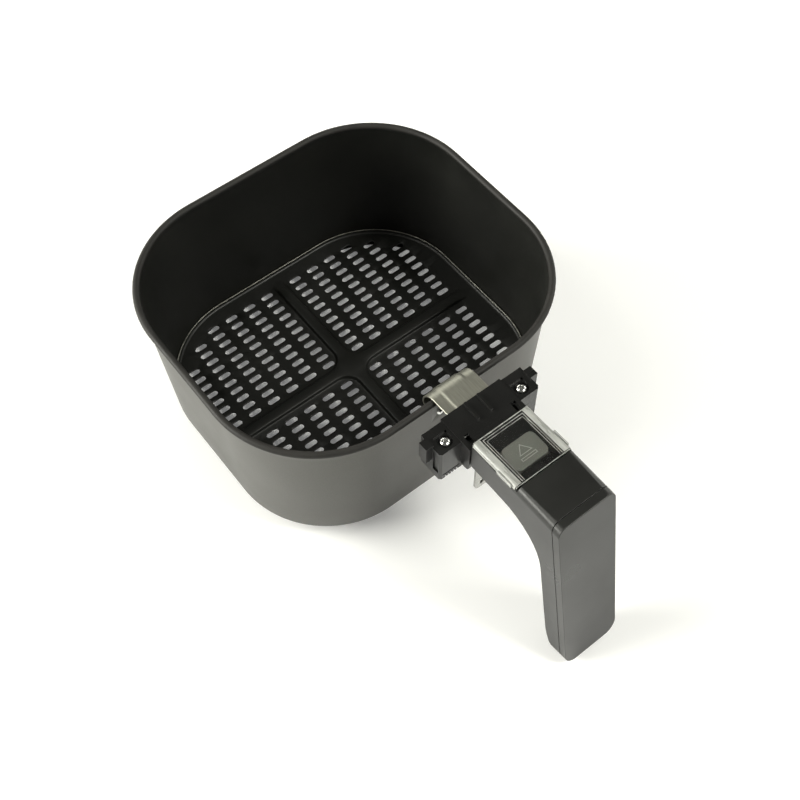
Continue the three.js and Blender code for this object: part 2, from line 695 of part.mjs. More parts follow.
function buttonSpring() {
  const low = new THREE.Vector3(0, BUTTON.y, BRIDGE.top + 0.7);
  const high = new THREE.Vector3(0, BUTTON.y, BUTTON.underside - 0.7);
  return coil(3.6, 0.35, 4, low, high);
}

// How far the cover sinks for each millimetre that it slides towards the basket.
function coverSlope() {
  return (COVER.topFar - COVER.topNear) / (COVER.yNear - COVER.yFar);
}

// The clear guard over the button: a saddle that slides down its own slope towards the basket.
function slideCover() {
  const run = COVER.yNear - COVER.yFar;
  const slope = Math.atan(coverSlope());
  const back = new THREE.Vector3(0, -Math.cos(slope), Math.sin(slope));
  const up = back.clone().cross(X);
  const length = run / Math.cos(slope);
  const half = COVER.halfX;
  const saddle = rounded([
    [-half, -COVER_SKIRT], [-half, 0, 2.2], [half, 0, 2.2], [half, -COVER_SKIRT],
    [half - COVER.plate, -COVER_SKIRT], [half - COVER.plate, -COVER.plate, 0.8],
    [-half + COVER.plate, -COVER.plate, 0.8], [-half + COVER.plate, -COVER_SKIRT],
  ], 3);
  const top = prism(saddle, length, X, up, new THREE.Vector3(0, COVER.yNear, COVER.topNear));
  const runners = bothSides((s) => {
    const xs = onSide(s, RUNNER.inner, RUNNER.outer);
    const web = block(xs, [-176, -169], [RUNNER.bottom, COVER.topFar - 1]);
    return web.add(block(xs, [-170, -144], [RUNNER.bottom, RUNNER.top]));
  });
  return top.add(runners);
}

function latchLever() {
  const { halfX, thick, tip, armHalf, armTop, armEnd } = LEVER;
  const barrel = rod(3.2, 2 * 13, X, new THREE.Vector3(-13, PIVOT.y, PIVOT.z));
  const back = PIVOT.y - 4.5;
  const tongue = prism(
    rounded([[-halfX, tip, 4], [halfX, tip, 4], [halfX, PIVOT.z + 1], [-halfX, PIVOT.z + 1]], 4),
    thick, X, Z, new THREE.Vector3(0, back + thick, 0),
  );
  const web = block([-13, 13], [back, PIVOT.y], [PIVOT.z - 1.5, PIVOT.z + 1]);
  const arm = across(
    [
      [PIVOT.y + 1.5, PIVOT.z + 2], [PIVOT.y - 2, armTop], [armEnd, armTop],
      [armEnd, armTop - thick], [PIVOT.y - 3, armTop - thick], [PIVOT.y - 1, PIVOT.z + 2],
    ],
    -armHalf,
    armHalf,
  );
  const bore = rod(PIN.radius + GAP, 32, X, new THREE.Vector3(-16, PIVOT.y, PIVOT.z));
  const slot = block([-11.5, -9], [back - 1, back + thick + 1], [tip + 4, tip + 9]);
  const twin = block([9, 11.5], [back - 1, back + thick + 1], [tip + 4, tip + 9]);
  return joined(barrel, tongue, web, arm).subtract(joined(bore, slot, twin));
}

function latchPin() {
  const end = new THREE.Vector3(-PIN.halfLength, PIVOT.y, PIVOT.z);
  return rod(PIN.radius, 2 * PIN.halfLength, X, end);
}

function latchSpring() {
  const from = new THREE.Vector3(13.8, PIVOT.y, PIVOT.z);
  return coil(2.4, 0.3, 3, from, new THREE.Vector3(16.4, PIVOT.y, PIVOT.z));
}

// ---- Assembly -----------------------------------------------------------------------------

const FINISHES = {
  bronze: { color: 0x5f5d50, roughness: 0.42, metalness: 0.7 },
  nonstick: { color: 0x1c1d1a, roughness: 0.5, metalness: 0.2 },
  satinSteel: { color: 0x8c8b7e, roughness: 0.35, metalness: 1 },
  brightSteel: { color: 0xd8d8d4, roughness: 0.18, metalness: 1 },
  matteBlack: { color: 0x202021, roughness: 0.6, metalness: 0 },
  glossBlack: { color: 0x2a2b2a, roughness: 0.28, metalness: 0 },
  buttonGrey: { color: 0x60605a, roughness: 0.5, metalness: 0 },
  clear: { color: 0xdfe3e0, roughness: 0.08, metalness: 0, transparent: true, opacity: 0.35 },
};

const PIECES = [
  ["basket_body", basketBody(), "bronze"],
  ["basket_floor", basketFloor(), "nonstick"],
  ["rim_strap", rimStrap(), "satinSteel"],
  ["strap_rivet_left", strapRivet(-1), "brightSteel"],
  ["strap_rivet_right", strapRivet(1), "brightSteel"],
  ["handle_base", handleBase(), "matteBlack"],
  ["base_screw_left", baseScrew(-1), "brightSteel"],
  ["base_screw_right", baseScrew(1), "brightSteel"],
  ["handle_body", handleBody(), "glossBlack"],
  ["grip_cap", gripCap(), "glossBlack"],
  ["arm_screw_left", armScrew(-1), "brightSteel"],
  ["arm_screw_right", armScrew(1), "brightSteel"],
  ["cap_screw_upper", capScrew(CAP_SCREWS.upper), "brightSteel"],
  ["cap_screw_lower", capScrew(CAP_SCREWS.lower), "brightSteel"],
  ["button_tray", buttonTray(), "matteBlack"],
  ["release_button", releaseButton(), "buttonGrey"],
  ["button_spring", buttonSpring(), "brightSteel"],
  ["slide_cover", slideCover(), "clear"],
  ["latch_lever", latchLever(), "satinSteel"],
  ["latch_pin", latchPin(), "brightSteel"],
  ["latch_spring", latchSpring(), "brightSteel"],
];

// The tip at which the heel of the grip and the rounded far edge of the foot touch one plane.
function standingTilt() {
  const tilts = heelCurve(0).map(([y, z]) => {
    const run = FOOT.halfY - FOOT_ROUNDING - y;
    const drop = FOOT_ROUNDING - z;
    return Math.atan2(drop, run) - Math.asin(FOOT_ROUNDING / Math.hypot(run, drop));
  });
  return Math.max(...tilts);
}

const assembly = new THREE.Group();
for (const [name, body, finish] of PIECES) {
  const mesh = new THREE.Mesh(geometryOf(body), new THREE.MeshStandardMaterial(FINISHES[finish]));
  mesh.name = name;
  assembly.add(mesh);
}
assembly.rotation.x = -standingTilt();

// Centred over its own box, with the lowest point on the table.
const stood = new THREE.Box3().setFromObject(assembly, true);
const middle = stood.getCenter(new THREE.Vector3());
assembly.position.set(-middle.x, -middle.y, -stood.min.z);

const part = new THREE.Group();
part.add(assembly);
export default part;
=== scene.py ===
"""An air fryer basket with its release handle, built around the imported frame.

Lengths are millimetres in the basket's own level frame: x across the basket, y away from the
handle, z up from the plane of the foot, origin at the basket's centre. The frame's foot mount
says where that level frame stands, and every finished mesh is placed by it, in metres.
"""
import json
import math

import bmesh
import bpy
from mathutils import Matrix, Vector
from mathutils.geometry import delaunay_2d_cdt


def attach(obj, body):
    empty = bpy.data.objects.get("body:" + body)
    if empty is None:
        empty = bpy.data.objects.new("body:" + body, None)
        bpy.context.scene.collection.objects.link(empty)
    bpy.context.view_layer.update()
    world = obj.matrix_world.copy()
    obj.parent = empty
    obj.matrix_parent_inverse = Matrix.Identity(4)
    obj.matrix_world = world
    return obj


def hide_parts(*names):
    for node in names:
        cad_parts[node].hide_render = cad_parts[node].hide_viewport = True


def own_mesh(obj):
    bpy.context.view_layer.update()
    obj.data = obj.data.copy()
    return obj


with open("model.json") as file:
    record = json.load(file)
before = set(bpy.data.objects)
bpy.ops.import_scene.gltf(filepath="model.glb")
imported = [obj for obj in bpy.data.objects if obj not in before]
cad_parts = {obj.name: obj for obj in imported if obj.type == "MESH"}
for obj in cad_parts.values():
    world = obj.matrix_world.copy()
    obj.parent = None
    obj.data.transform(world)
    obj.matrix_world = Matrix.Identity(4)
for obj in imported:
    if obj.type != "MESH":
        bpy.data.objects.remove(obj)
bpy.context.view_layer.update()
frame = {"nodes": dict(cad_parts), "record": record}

# ---- The level frame ----------------------------------------------------------------------

MM = 0.001
FOOT_MOUNT = Vector((0, -91.25, 0))


def level_frame():
    mount = next(m for m in frame["record"]["mounts"] if m["name"] == "basket_foot")
    tilt = Vector((0, 0, -1)).rotation_difference(Vector(mount["axis"]))
    place = Matrix.Translation(mount["pos_m"]) @ tilt.to_matrix().to_4x4()
    return place @ Matrix.Scale(MM, 4) @ Matrix.Translation(-FOOT_MOUNT)


LEVEL = level_frame()

# ---- Driving dimensions -------------------------------------------------------------------

SHEET = 1.0
WELD = 0.002  # points closer than this are merged
FLAT_WITHIN = 0.6  # degrees between faces that are made one
FOOT = {"half_x": 107.9, "half_y": 97.5, "corner": 66.2}
BROW = {"half_x": 111.9, "half_y": 101.7, "corner": 68.5}
BROW_Z = 102.5
FOOT_ROUNDING = 5
FOOT_FLANGE = 2.5
RIM_TOP, RIM_REACH, RIM_ROLL = 107.3, 3.1, 2.2

FLOOR_TOP = 7.5
FLOOR_BEND = 3
SLOT_LENGTH, SLOT_WIDTH = 8.9, 3.6
SLOT_FIRST = (12.0, 10.1)
SLOT_PITCH = (14.87, 7.24)
SLOT_ROWS = (11, 11, 11, 11, 10, 8)
CROSS_CREST, CROSS_FOOT, CROSS_HEIGHT = 3.1, 4.9, 2.0
CROSS_REACH = (96, 86)
CROSS_CORNER = 10
CROSS_FADE = 4

STRAP_HALF, STRAP_THICK, STRAP_BEAD_HALF, STRAP_BEAD = 15, 1.2, 8.3, 0.6
RIVET_X, RIVET_Z = 7.8, 88
BASE_SCREW = (27.3, -128.7, 110.3)

HANDLE_TOP = 121.2
FACE_TOP_Y = -210
GRIP_LEAN = math.radians(11.35)
GRIP_THICK = 17
CAP_SCREWS = (62, 108)
ARM_SCREW = (12, -150, 95.5)

COVER_NEAR, COVER_FAR = (-142, 118.6), (-177, 120.4)
BUTTON_Y, BUTTON_TOP, BUTTON_TRAVEL = -162, 117.3, 2
PIVOT = (-138, 92)

# ---- Camera, floor and light --------------------------------------------------------------

CAMERA_AT = Vector((-232.5, -363.3, 660.7))
CAMERA_AXES = (
    Vector((0.78746, -0.61622, -0.01327)),
    Vector((0.53038, 0.66648, 0.52392)),
    Vector((-0.31401, -0.41961, 0.85166)),
)
LENS, SENSOR_WIDTH, NEAREST = 52.6, 36, 0.01
LIGHT_TONE = (1, 0.995, 0.92)
LIGHT_AIM = Vector((0, 0, 0.05))
WORLD_STRENGTH = 0.13


def linked(name, data):
    made = bpy.data.objects.new(name, data)
    bpy.context.scene.collection.objects.link(made)
    return made


def add_camera():
    data = bpy.data.cameras.new("camera")
    data.lens = LENS
    data.sensor_width = SENSOR_WIDTH
    data.clip_start = NEAREST
    camera = linked("camera", data)
    pose = Matrix(CAMERA_AXES).transposed().to_4x4()
    pose.translation = CAMERA_AT
    place, turn, _ = (LEVEL @ pose).decompose()
    camera.matrix_world = Matrix.LocRotScale(place, turn, Vector((1, 1, 1)))
    bpy.context.scene.camera = camera


def add_light(name, at, size, power):
    data = bpy.data.lights.new(name, "AREA")
    data.shape = "RECTANGLE"
    data.size, data.size_y = size
    data.energy = power
    data.color = LIGHT_TONE
    light = linked(name, data)
    light.location = at
    light.rotation_mode = "QUATERNION"
    light.rotation_quaternion = (LIGHT_AIM - Vector(at)).to_track_quat("-Z", "Y")


SOFTBOXES = (  # name, place, size and power of each
    ("left_softbox", (-1.5, 1.0, 0.75), (1.2, 0.9), 60),
    ("left_high_softbox", (-1.0, 0.8, 1.9), (0.6, 0.6), 8),
    ("high_softbox", (0.85, -1.0, 1.85), (0.7, 0.7), 30),
    ("front_softbox", (0.6, -1.8, 0.8), (1.2, 0.8), 7),
    ("right_softbox", (1.8, 0.0, 0.8), (1.0, 1.0), 9),
    ("back_softbox", (0.4, 2.0, 0.75), (1.4, 0.7), 9),
)


def add_studio():
    scene = bpy.context.scene
    scene.view_settings.view_transform = "Standard"
    world = bpy.data.worlds.new("studio")
    world.use_nodes = True
    back = world.node_tree.nodes["Background"].inputs
    back["Color"].default_value = (*LIGHT_TONE, 1)
    back["Strength"].default_value = WORLD_STRENGTH
    scene.world = world
    for name, place, size, power in SOFTBOXES:
        add_light(name, place, size, power)


# ---- Mesh tools ---------------------------------------------------------------------------

def arc(centre, radius, start, end, steps):
    """Points on a circle, from one angle in degrees to another."""
    turns = [math.radians(start + (end - start) * k / steps) for k in range(steps + 1)]
    return [(centre[0] + radius * math.cos(t), centre[1] + radius * math.sin(t)) for t in turns]


def rounded(corners, steps=8):
    """Corners (u, v, radius) joined by straight lines, each corner rounded by an arc."""
    points = []
    count = len(corners)
    for k, (u, v, radius) in enumerate(corners):
        corner = Vector((u, v))
        if radius == 0:
            points.append(tuple(corner))
            continue
        back = (Vector(corners[k - 1][:2]) - corner).normalized()
        on = (Vector(corners[(k + 1) % count][:2]) - corner).normalized()
        half = back.angle(on) / 2
        centre = corner + (back + on).normalized() * radius / math.sin(half)
        start = corner + back * radius / math.tan(half) - centre
        end = corner + on * radius / math.tan(half) - centre
        turn = math.atan2(start.cross(end), start.dot(end))
        for step in range(steps + 1):
            points.append(tuple(centre + Matrix.Rotation(turn * step / steps, 2) @ start))
    return points


def bridge(rings, closed_section=False):
    """Quads between neighbouring rings of the same length, as indices into their joined list."""
    count = len(rings[0])
    pairs = range(len(rings) if closed_section else len(rings) - 1)
    faces = []
    for level in pairs:
        low, high = level * count, (level + 1) % len(rings) * count
        for k in range(count):
            after = (k + 1) % count
            faces.append((low + k, low + after, high + after, high + k))
    return faces


def bmesh_of(vertices, faces):
    made = bmesh.new()
    corners = [made.verts.new(v) for v in vertices]
    for face in faces:
        made.faces.new([corners[k] for k in face])
    return made


def shade(mesh, angle):
    mesh.polygons.foreach_set("use_smooth", [True] * len(mesh.polygons))
    mesh.set_sharp_from_angle(angle=math.radians(angle))


def apply_modifiers(piece):
    """Bakes the modifiers of a piece into its own mesh."""
    graph = bpy.context.evaluated_depsgraph_get()
    baked = bpy.data.meshes.new_from_object(piece.evaluated_get(graph))
    piece.modifiers.clear()
    piece.data = baked


def soften(piece, width, segments=2, angle=32):
    """Rounds the sharp edges of a piece by a small bevel, in millimetres."""
    bevel = piece.modifiers.new("bevel", "BEVEL")
    bevel.width = width * MM
    bevel.segments = segments
    bevel.limit_method = "ANGLE"
    bevel.angle_limit = math.radians(angle)
    shade(piece.data, angle)
    weighted = piece.modifiers.new("normals", "WEIGHTED_NORMAL")
    weighted.keep_sharp = True
    apply_modifiers(piece)


def add_mesh(name, mesh_source, materials, smooth=40):
    """A piece from a bmesh in level millimetres."""
    bmesh.ops.recalc_face_normals(mesh_source, faces=mesh_source.faces)
    mesh = bpy.data.meshes.new(name)
    mesh_source.to_mesh(mesh)
    mesh_source.free()
    mesh.transform(LEVEL)
    for finish in materials:
        mesh.materials.append(finish)
    shade(mesh, smooth)
    return linked(name, mesh)


def settle(piece, body, slot, *nodes):
    """The piece rides on its body and stands for its CAD nodes, which are hidden; `slot` is not
    used.
    """
    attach(piece, body)
    if nodes:
        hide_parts(*nodes)


def prism(outline, low, high, axes):
    """A closed prism: the outline lies along axes[0] and axes[1] and runs along axes[2]."""
    u, v, w = (Vector(a) for a in axes)
    rings = [[u * p[0] + v * p[1] + w * depth for p in outline] for depth in (low, high)]
    made = bmesh_of(rings[0] + rings[1], bridge(rings))
    made.verts.ensure_lookup_table()
    count = len(outline)
    made.faces.new([made.verts[k] for k in range(count)])
    made.faces.new([made.verts[count + k] for k in reversed(range(count))])
    bmesh.ops.recalc_face_normals(made, faces=made.faces)
    return made


XYZ = ((1, 0, 0), (0, 1, 0), (0, 0, 1))
XZY = ((1, 0, 0), (0, 0, 1), (0, 1, 0))
YZX = ((0, 1, 0), (0, 0, 1), (1, 0, 0))


def lathe(profile, sides=40):
    """A closed turned piece about Z from a (radius, height) profile that starts and ends on it."""
    rings = []
    for radius, height in profile[1:-1]:
        turns = [2 * math.pi * k / sides for k in range(sides)]
        rings.append([Vector((radius * math.cos(t), radius * math.sin(t), height)) for t in turns])
    points = [p for ring in rings for p in ring]
    ends = [Vector((0, 0, profile[0][1])), Vector((0, 0, profile[-1][1]))]
    faces = bridge(rings)
    for first, pole in ((0, len(points)), (len(points) - sides, len(points) + 1)):
        faces += [(first + k, first + (k + 1) % sides, pole) for k in range(sides)]
    made = bmesh_of(points + ends, faces)
    bmesh.ops.recalc_face_normals(made, faces=made.faces)
    return made


def aim(at, axis):
    turn = Vector((0, 0, 1)).rotation_difference(Vector(axis))
    return Matrix.Translation(at) @ turn.to_matrix().to_4x4()


def cut(piece, cutters):
    """Takes the cutters, bmeshes in level millimetres, out of a piece."""
    for number, cutter in enumerate(cutters):
        tool = add_mesh("cutter", cutter, [])
        modifier = piece.modifiers.new(f"cut {number}", "BOOLEAN")
        modifier.operation = "DIFFERENCE"
        modifier.solver = "EXACT"
        modifier.object = tool
        apply_modifiers(piece)
        mesh = tool.data
        bpy.data.objects.remove(tool)
        bpy.data.meshes.remove(mesh)


def copy_of(node, name, finish):
    """A new piece with the shape of a CAD node, its flat faces made whole."""
    shape = bmesh.new()
    shape.from_mesh(frame["nodes"][node].data)
    bmesh.ops.remove_doubles(shape, verts=shape.verts, dist=WELD * MM)
    bmesh.ops.dissolve_limit(
        shape, angle_limit=math.radians(FLAT_WITHIN), verts=shape.verts, edges=shape.edges,
    )
    mesh = bpy.data.meshes.new(name)
    corners = [v.co for v in shape.verts]
    shape.verts.index_update()
    mesh.from_pydata(corners, [], [[v.index for v in f.verts] for f in shape.faces])
    shape.free()
    mesh.materials.append(finish)
    return linked(name, mesh)


def grip_point(x, along, deep):
    """A point on the grip: `along` down its front face and `deep` behind it."""
    sin, cos = math.sin(GRIP_LEAN), math.cos(GRIP_LEAN)
    return Vector((x, FACE_TOP_Y - along * sin + deep * cos, HANDLE_TOP - along * cos - deep * sin))


INTO_GRIP = (0, math.cos(GRIP_LEAN), -math.sin(GRIP_LEAN))

# ---- Materials ----------------------------------------------------------------------------

ROUGHNESS_DRIFT = 0.05


def new_material(name, roughness, metallic=0.0, specular=0.5):
    made = bpy.data.materials.new(name)
    made.use_nodes = True
    shader = made.node_tree.nodes["Principled BSDF"]
    shader.inputs["Roughness"].default_value = roughness
    shader.inputs["Metallic"].default_value = metallic
    shader.inputs["Specular IOR Level"].default_value = specular
    return made, made.node_tree, shader


def noise(tree, scale, detail=2.0, stretch=(1, 1, 1)):
    """Noise over the piece's own coordinates, whose scale is in features a metre."""
    place = tree.nodes.new("ShaderNodeTexCoord")
    mapping = tree.nodes.new("ShaderNodeMapping")
    mapping.inputs["Scale"].default_value = stretch
    texture = tree.nodes.new("ShaderNodeTexNoise")
    texture.inputs["Scale"].default_value = scale
    texture.inputs["Detail"].default_value = detail
    tree.links.new(place.outputs["Object"], mapping.inputs["Vector"])
    tree.links.new(mapping.outputs["Vector"], texture.inputs["Vector"])
    return texture.outputs["Fac"]


def spread(tree, value, low, high, start=0.3, end=0.7):
    """Maps a noise value to a range of numbers."""
    node = tree.nodes.new("ShaderNodeMapRange")
    for key, number in (("From Min", start), ("From Max", end), ("To Min", low), ("To Max", high)):
        node.inputs[key].default_value = number
    tree.links.new(value, node.inputs["Value"])
    return node.outputs["Result"]


def tint(tree, value, dark, light, start=0.3, end=0.7):
    """Maps a noise value to a colour between two."""
    node = tree.nodes.new("ShaderNodeMix")
    node.data_type = "RGBA"
    node.inputs["A"].default_value = (*dark, 1)
    node.inputs["B"].default_value = (*light, 1)
    tree.links.new(spread(tree, value, 0, 1, start, end), node.inputs["Factor"])
    return node.outputs["Result"]


def set_bump(tree, shader, height, strength, distance):
    node = tree.nodes.new("ShaderNodeBump")
    node.inputs["Strength"].default_value = strength
    node.inputs["Distance"].default_value = distance
    tree.links.new(height, node.inputs["Height"])
    tree.links.new(node.outputs["Normal"], shader.inputs["Normal"])


def bronze_enamel():
    """Satin metallic enamel: fine flakes over slow drifts of tone."""
    made, tree, shader = new_material("bronze_enamel", 0.4, 0.35)
    flakes = noise(tree, 2600, 1)
    drift = noise(tree, 14, 3)
    tone = tint(tree, flakes, (0.049, 0.048, 0.0415), (0.0735, 0.072, 0.062))
    tree.links.new(tone, shader.inputs["Base Color"])
    tree.links.new(spread(tree, drift, 0.34, 0.43), shader.inputs["Roughness"])
    set_bump(tree, shader, flakes, 0.12, 0.00005)
    return made


def nonstick_black():
    """Satin black non-stick coating with a faint orange peel."""
    made, tree, shader = new_material("nonstick_black", 0.42, 0.0, 0.38)
    peel = noise(tree, 900, 2)
    drift = noise(tree, 22, 3)
    tone = tint(tree, drift, (0.0062, 0.0065, 0.0055), (0.0098, 0.0101, 0.0085))
    tree.links.new(tone, shader.inputs["Base Color"])
    tree.links.new(spread(tree, drift, 0.36, 0.5), shader.inputs["Roughness"])
    set_bump(tree, shader, peel, 0.18, 0.00012)
    return made


def rim_dark():
    """The coating where it turns over the rim, rubbed a little smoother."""
    made, tree, shader = new_material("rim_dark", 0.55, 0.0, 0.28)
    peel = noise(tree, 1200, 2)
    mottle = noise(tree, 60, 4)
    tree.links.new(tint(tree, mottle, (0.014, 0.0132, 0.0122), (0.024, 0.0226, 0.0208)),
                   shader.inputs["Base Color"])
    tree.links.new(spread(tree, mottle, 0.5, 0.62), shader.inputs["Roughness"])
    set_bump(tree, shader, peel, 0.15, 0.0001)
    return made


def painted_lip_highlight():
    """The tray's lip: a bright metallic finish that paints the highlight running along the floor's
    edge at the wall.
    """
    made, tree, shader = new_material("painted_lip_highlight", 0.4, 0.45)
    mottle = noise(tree, 260, 4)
    tree.links.new(tint(tree, mottle, (0.13, 0.128, 0.112), (0.3, 0.295, 0.26)),
                   shader.inputs["Base Color"])
    tree.links.new(spread(tree, mottle, 0.34, 0.5), shader.inputs["Roughness"])
    set_bump(tree, shader, mottle, 0.2, 0.0001)
    return made


def satin_steel(name, tone_dark, tone_light, stretch, roughness=0.33):
    """Steel with a fine grain along one direction."""
    made, tree, shader = new_material(name, roughness, 1.0)
    grain = noise(tree, 1500, 2, stretch)
    drift = noise(tree, 35, 3)
    tree.links.new(tint(tree, grain, tone_dark, tone_light), shader.inputs["Base Color"])
    gloss = spread(tree, drift, roughness - ROUGHNESS_DRIFT, roughness + ROUGHNESS_DRIFT)
    tree.links.new(gloss, shader.inputs["Roughness"])
    set_bump(tree, shader, grain, 0.1, 0.00004)
    return made


def bright_steel():
    """Nickel-plated fasteners, with fine turning marks."""
    made, tree, shader = new_material("bright_steel", 0.18, 1.0)
    marks = noise(tree, 1800, 3)
    tree.links.new(tint(tree, marks, (0.62, 0.62, 0.6), (0.86, 0.86, 0.84)),
                   shader.inputs["Base Color"])
    tree.links.new(spread(tree, marks, 0.14, 0.26), shader.inputs["Roughness"])
    set_bump(tree, shader, marks, 0.08, 0.00004)
    return made


def moulded(name, dark, light, roughness, grain_scale, grain_strength, specular=0.5):
    """Moulded plastic: a fine spark-eroded grain and a slow drift of gloss."""
    made, tree, shader = new_material(name, roughness, 0.0, specular)
    grain = noise(tree, grain_scale, 2)
    drift = noise(tree, 30, 3)
    tree.links.new(tint(tree, drift, dark, light), shader.inputs["Base Color"])
    gloss = spread(tree, drift, roughness - ROUGHNESS_DRIFT, roughness + ROUGHNESS_DRIFT)
    tree.links.new(gloss, shader.inputs["Roughness"])
    set_bump(tree, shader, grain, grain_strength, 0.00006)
    return made


def clear_plastic():
    """Polished clear plastic with faint flow lines along the mould."""
    made, tree, shader = new_material("clear_plastic", 0.04)
    shader.inputs["IOR"].default_value = 1.42
    shader.inputs["Transmission Weight"].default_value = 1.0
    flow = noise(tree, 70, 2, (1, 0.25, 1))
    tree.links.new(tint(tree, flow, (0.9, 0.93, 0.91), (0.99, 0.99, 0.98)),
                   shader.inputs["Base Color"])
    tree.links.new(spread(tree, flow, 0.02, 0.06), shader.inputs["Roughness"])
    set_bump(tree, shader, flow, 0.05, 0.0001)
    return made


def milky_plastic():
    """The frosted rails of the cover: the same plastic with a fine satin texture."""
    made, tree, shader = new_material("milky_plastic", 0.3)
    streaks = noise(tree, 420, 3, (1, 0.12, 1))
    tree.links.new(tint(tree, streaks, (0.27, 0.275, 0.26), (0.46, 0.465, 0.44)),
                   shader.inputs["Base Color"])
    tree.links.new(spread(tree, streaks, 0.2, 0.4), shader.inputs["Roughness"])
    shader.inputs["Transmission Weight"].default_value = 0.15
    set_bump(tree, shader, streaks, 0.2, 0.0001)
    return made


FINISH = {
    "bronze_enamel": bronze_enamel(),
    "nonstick_black": nonstick_black(),
    "rim_dark": rim_dark(),
    # the tray's lip, painted bright as a highlight along the floor's edge
    "painted_lip_highlight": painted_lip_highlight(),
    "strap_steel": satin_steel(
        "strap_steel", (0.355, 0.352, 0.303), (0.43, 0.426, 0.367), (1, 0.08, 0.08), 0.46,
    ),
    "latch_steel": satin_steel(
        "latch_steel", (0.33, 0.33, 0.31), (0.44, 0.44, 0.42), (0.1, 1, 1),
    ),
    "bright_steel": bright_steel(),
    "matte_black": moulded(
        "matte_black", (0.0068, 0.0068, 0.0066), (0.0102, 0.0102, 0.0098), 0.3, 2600, 0.16, 0.4,
    ),
    "gloss_black": moulded(
        "gloss_black", (0.0105, 0.0107, 0.0098), (0.0145, 0.0147, 0.0136), 0.32, 1250, 0.05,
    ),
    "sign_grey": moulded("sign_grey", (0.42, 0.42, 0.39), (0.5, 0.5, 0.465), 0.35, 2400, 0.2),
    "button_grey": moulded(
        "button_grey", (0.175, 0.175, 0.158), (0.205, 0.205, 0.186), 0.42, 2400, 0.3,
    ),
    "clear_plastic": clear_plastic(),
    "milky_plastic": milky_plastic(),
}

# ---- Basket -------------------------------------------------------------------------------

def wall_ring(z, grow, corner_steps=28, side_steps=6):
    """The rounded rectangle of the wall at height z, grown outwards by `grow`."""
    share = z / BROW_Z
    half_x, half_y, corner = (
        FOOT[key] + (BROW[key] - FOOT[key]) * share + grow for key in ("half_x", "half_y", "corner")
    )
    signs = ((1, 1), (-1, 1), (-1, -1), (1, -1))
    corners = []
    for quarter, (sx, sy) in enumerate(signs):
        centre = (sx * (half_x - corner), sy * (half_y - corner))
        corners.append(arc(centre, corner, 90 * quarter, 90 * quarter + 90, corner_steps))
    ring = []
    for quarter in range(4):
        ring += corners[quarter]
        start = Vector(corners[quarter][-1])
        end = Vector(corners[(quarter + 1) % 4][0])
        ring += [tuple(start.lerp(end, k / side_steps)) for k in range(1, side_steps)]
    return [(x, y, z) for x, y in ring]


WALL_LEVELS = (20, 40, 60, 80, 95)
BROW_CURVE = ((0, 101.4), (0.25, 102.3), (1.1, 102.9))  # growth and height
ROLL_START, ROLL_END = -60, 172
UNDER_ROLL = ((0.12, 2.6), (0, 4.2))  # growth and drop of the wall where it leaves the roll


def wall_section():
    """(grow, z, material) round the sheet: outside, over the rolled rim and down the inside."""
    bend = (-FOOT_ROUNDING, FOOT_ROUNDING)
    roll = (RIM_REACH - RIM_ROLL, RIM_TOP - RIM_ROLL)
    outside = [(-FOOT_ROUNDING - FOOT_FLANGE, 0)]
    outside += arc(bend, FOOT_ROUNDING, -90, 0, 8)
    outside += [(0, z) for z in WALL_LEVELS]
    outside += BROW_CURVE
    rim = arc(roll, RIM_ROLL, ROLL_START, ROLL_END, 20)
    inside = [(-SHEET - grow, RIM_TOP - drop) for grow, drop in UNDER_ROLL]
    inside += [(-SHEET, z) for z in reversed(WALL_LEVELS)]
    inside += arc(bend, FOOT_ROUNDING - SHEET, 0, -90, 8)
    inside += [(-FOOT_ROUNDING - FOOT_FLANGE, SHEET)]
    marked = [(g, z, 0) for g, z in outside]
    marked += [(g, z, 1) for g, z in rim]
    return marked + [(g, z, 2) for g, z in inside]


def rivet_way(side):
    """The hole in the wall for a rivet's shank."""
    radius, reach, wall_y = 2.0, 10, -101
    way = lathe([(0, -reach), (radius, -reach), (radius, reach), (0, reach)], 24)
    pose = aim((side * RIVET_X, wall_y, RIVET_Z), (0, 1, 0))
    bmesh.ops.transform(way, matrix=pose, verts=way.verts)
    return way


def add_basket_body():
    section = wall_section()
    rings = [wall_ring(z, grow) for grow, z, _ in section]
    made = bmesh_of([p for ring in rings for p in ring], bridge(rings, closed_section=True))
    count = len(rings[0])
    made.faces.ensure_lookup_table()
    for number, face in enumerate(made.faces):
        face.material_index = section[number // count][2]
    finishes = [FINISH[key] for key in ("bronze_enamel", "rim_dark", "nonstick_black")]
    piece = add_mesh("basket_wall", made, finishes, 50)
    cut(piece, [rivet_way(-1), rivet_way(1)])
    settle(piece, "basket", "bronze_enamel", "basket_body")


def smooth_step(t):
    t = min(1, max(0, t))
    return t * t * (3 - 2 * t)


def cross_offset(x, y):
    """Distance from the cross's middle lines, with the quarters' inner corners rounded."""
    u, v = abs(x), abs(y)
    knee = CROSS_CORNER + CROSS_FOOT
    if u < knee and v < knee:
        return knee - math.hypot(knee - u, knee - v)
    return min(u, v)


def floor_height(x, y):
    """The pressed cross: a flat crest between soft shoulders, fading out before the wall."""
    rise = 1 - smooth_step((cross_offset(x, y) - CROSS_CREST) / (CROSS_FOOT - CROSS_CREST))
    fade_x = 1 - smooth_step((abs(x) - CROSS_REACH[0] + CROSS_FADE) / CROSS_FADE)
    fade_y = 1 - smooth_step((abs(y) - CROSS_REACH[1] + CROSS_FADE) / CROSS_FADE)
    return FLOOR_TOP + CROSS_HEIGHT * rise * min(fade_x, fade_y)


